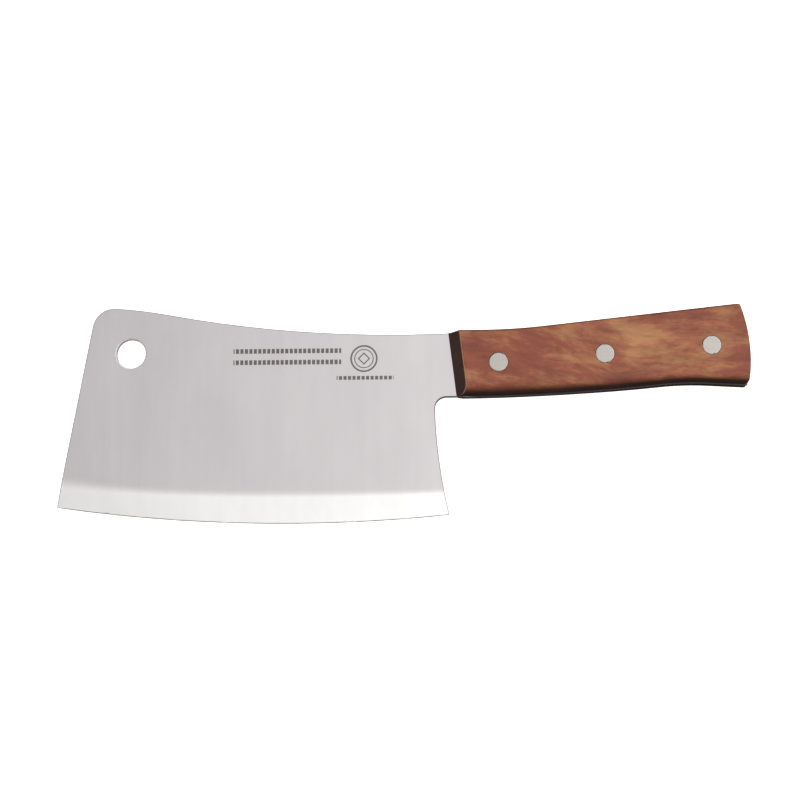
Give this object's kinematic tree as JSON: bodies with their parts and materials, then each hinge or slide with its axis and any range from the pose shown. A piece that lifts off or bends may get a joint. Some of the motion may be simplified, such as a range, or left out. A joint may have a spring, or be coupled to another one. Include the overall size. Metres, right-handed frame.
{
  "type": "meat cleaver",
  "caption": "Broad rectangular cleaver blade with a curved edge, a hanging hole and a full tang between two riveted wooden handle scales.",
  "frame": {"origin": "bottom centre of the cleaver's box, with the cleaver lying flat on its right scale", "axes": "+X along the length, from the front of the blade to the butt of the handle; +Y from the cutting edge to the spine; +Z through the thickness, up"},
  "size_m": [0.29, 0.092, 0.0195],
  "materials": {
    "blade_steel": "satin ground, with a brighter polished bevel",
    "handle_wood": "oiled rosewood",
    "rivet_metal": "sanded flush"
  },
  "bodies": {
    "root": {"blade": "blade_steel", "left_scale": "handle_wood", "right_scale": "handle_wood", "front_rivet_female": "rivet_metal", "front_rivet_male": "rivet_metal", "middle_rivet_female": "rivet_metal", "middle_rivet_male": "rivet_metal", "rear_rivet_female": "rivet_metal", "rear_rivet_male": "rivet_metal"}
  },
  "joints": []
}
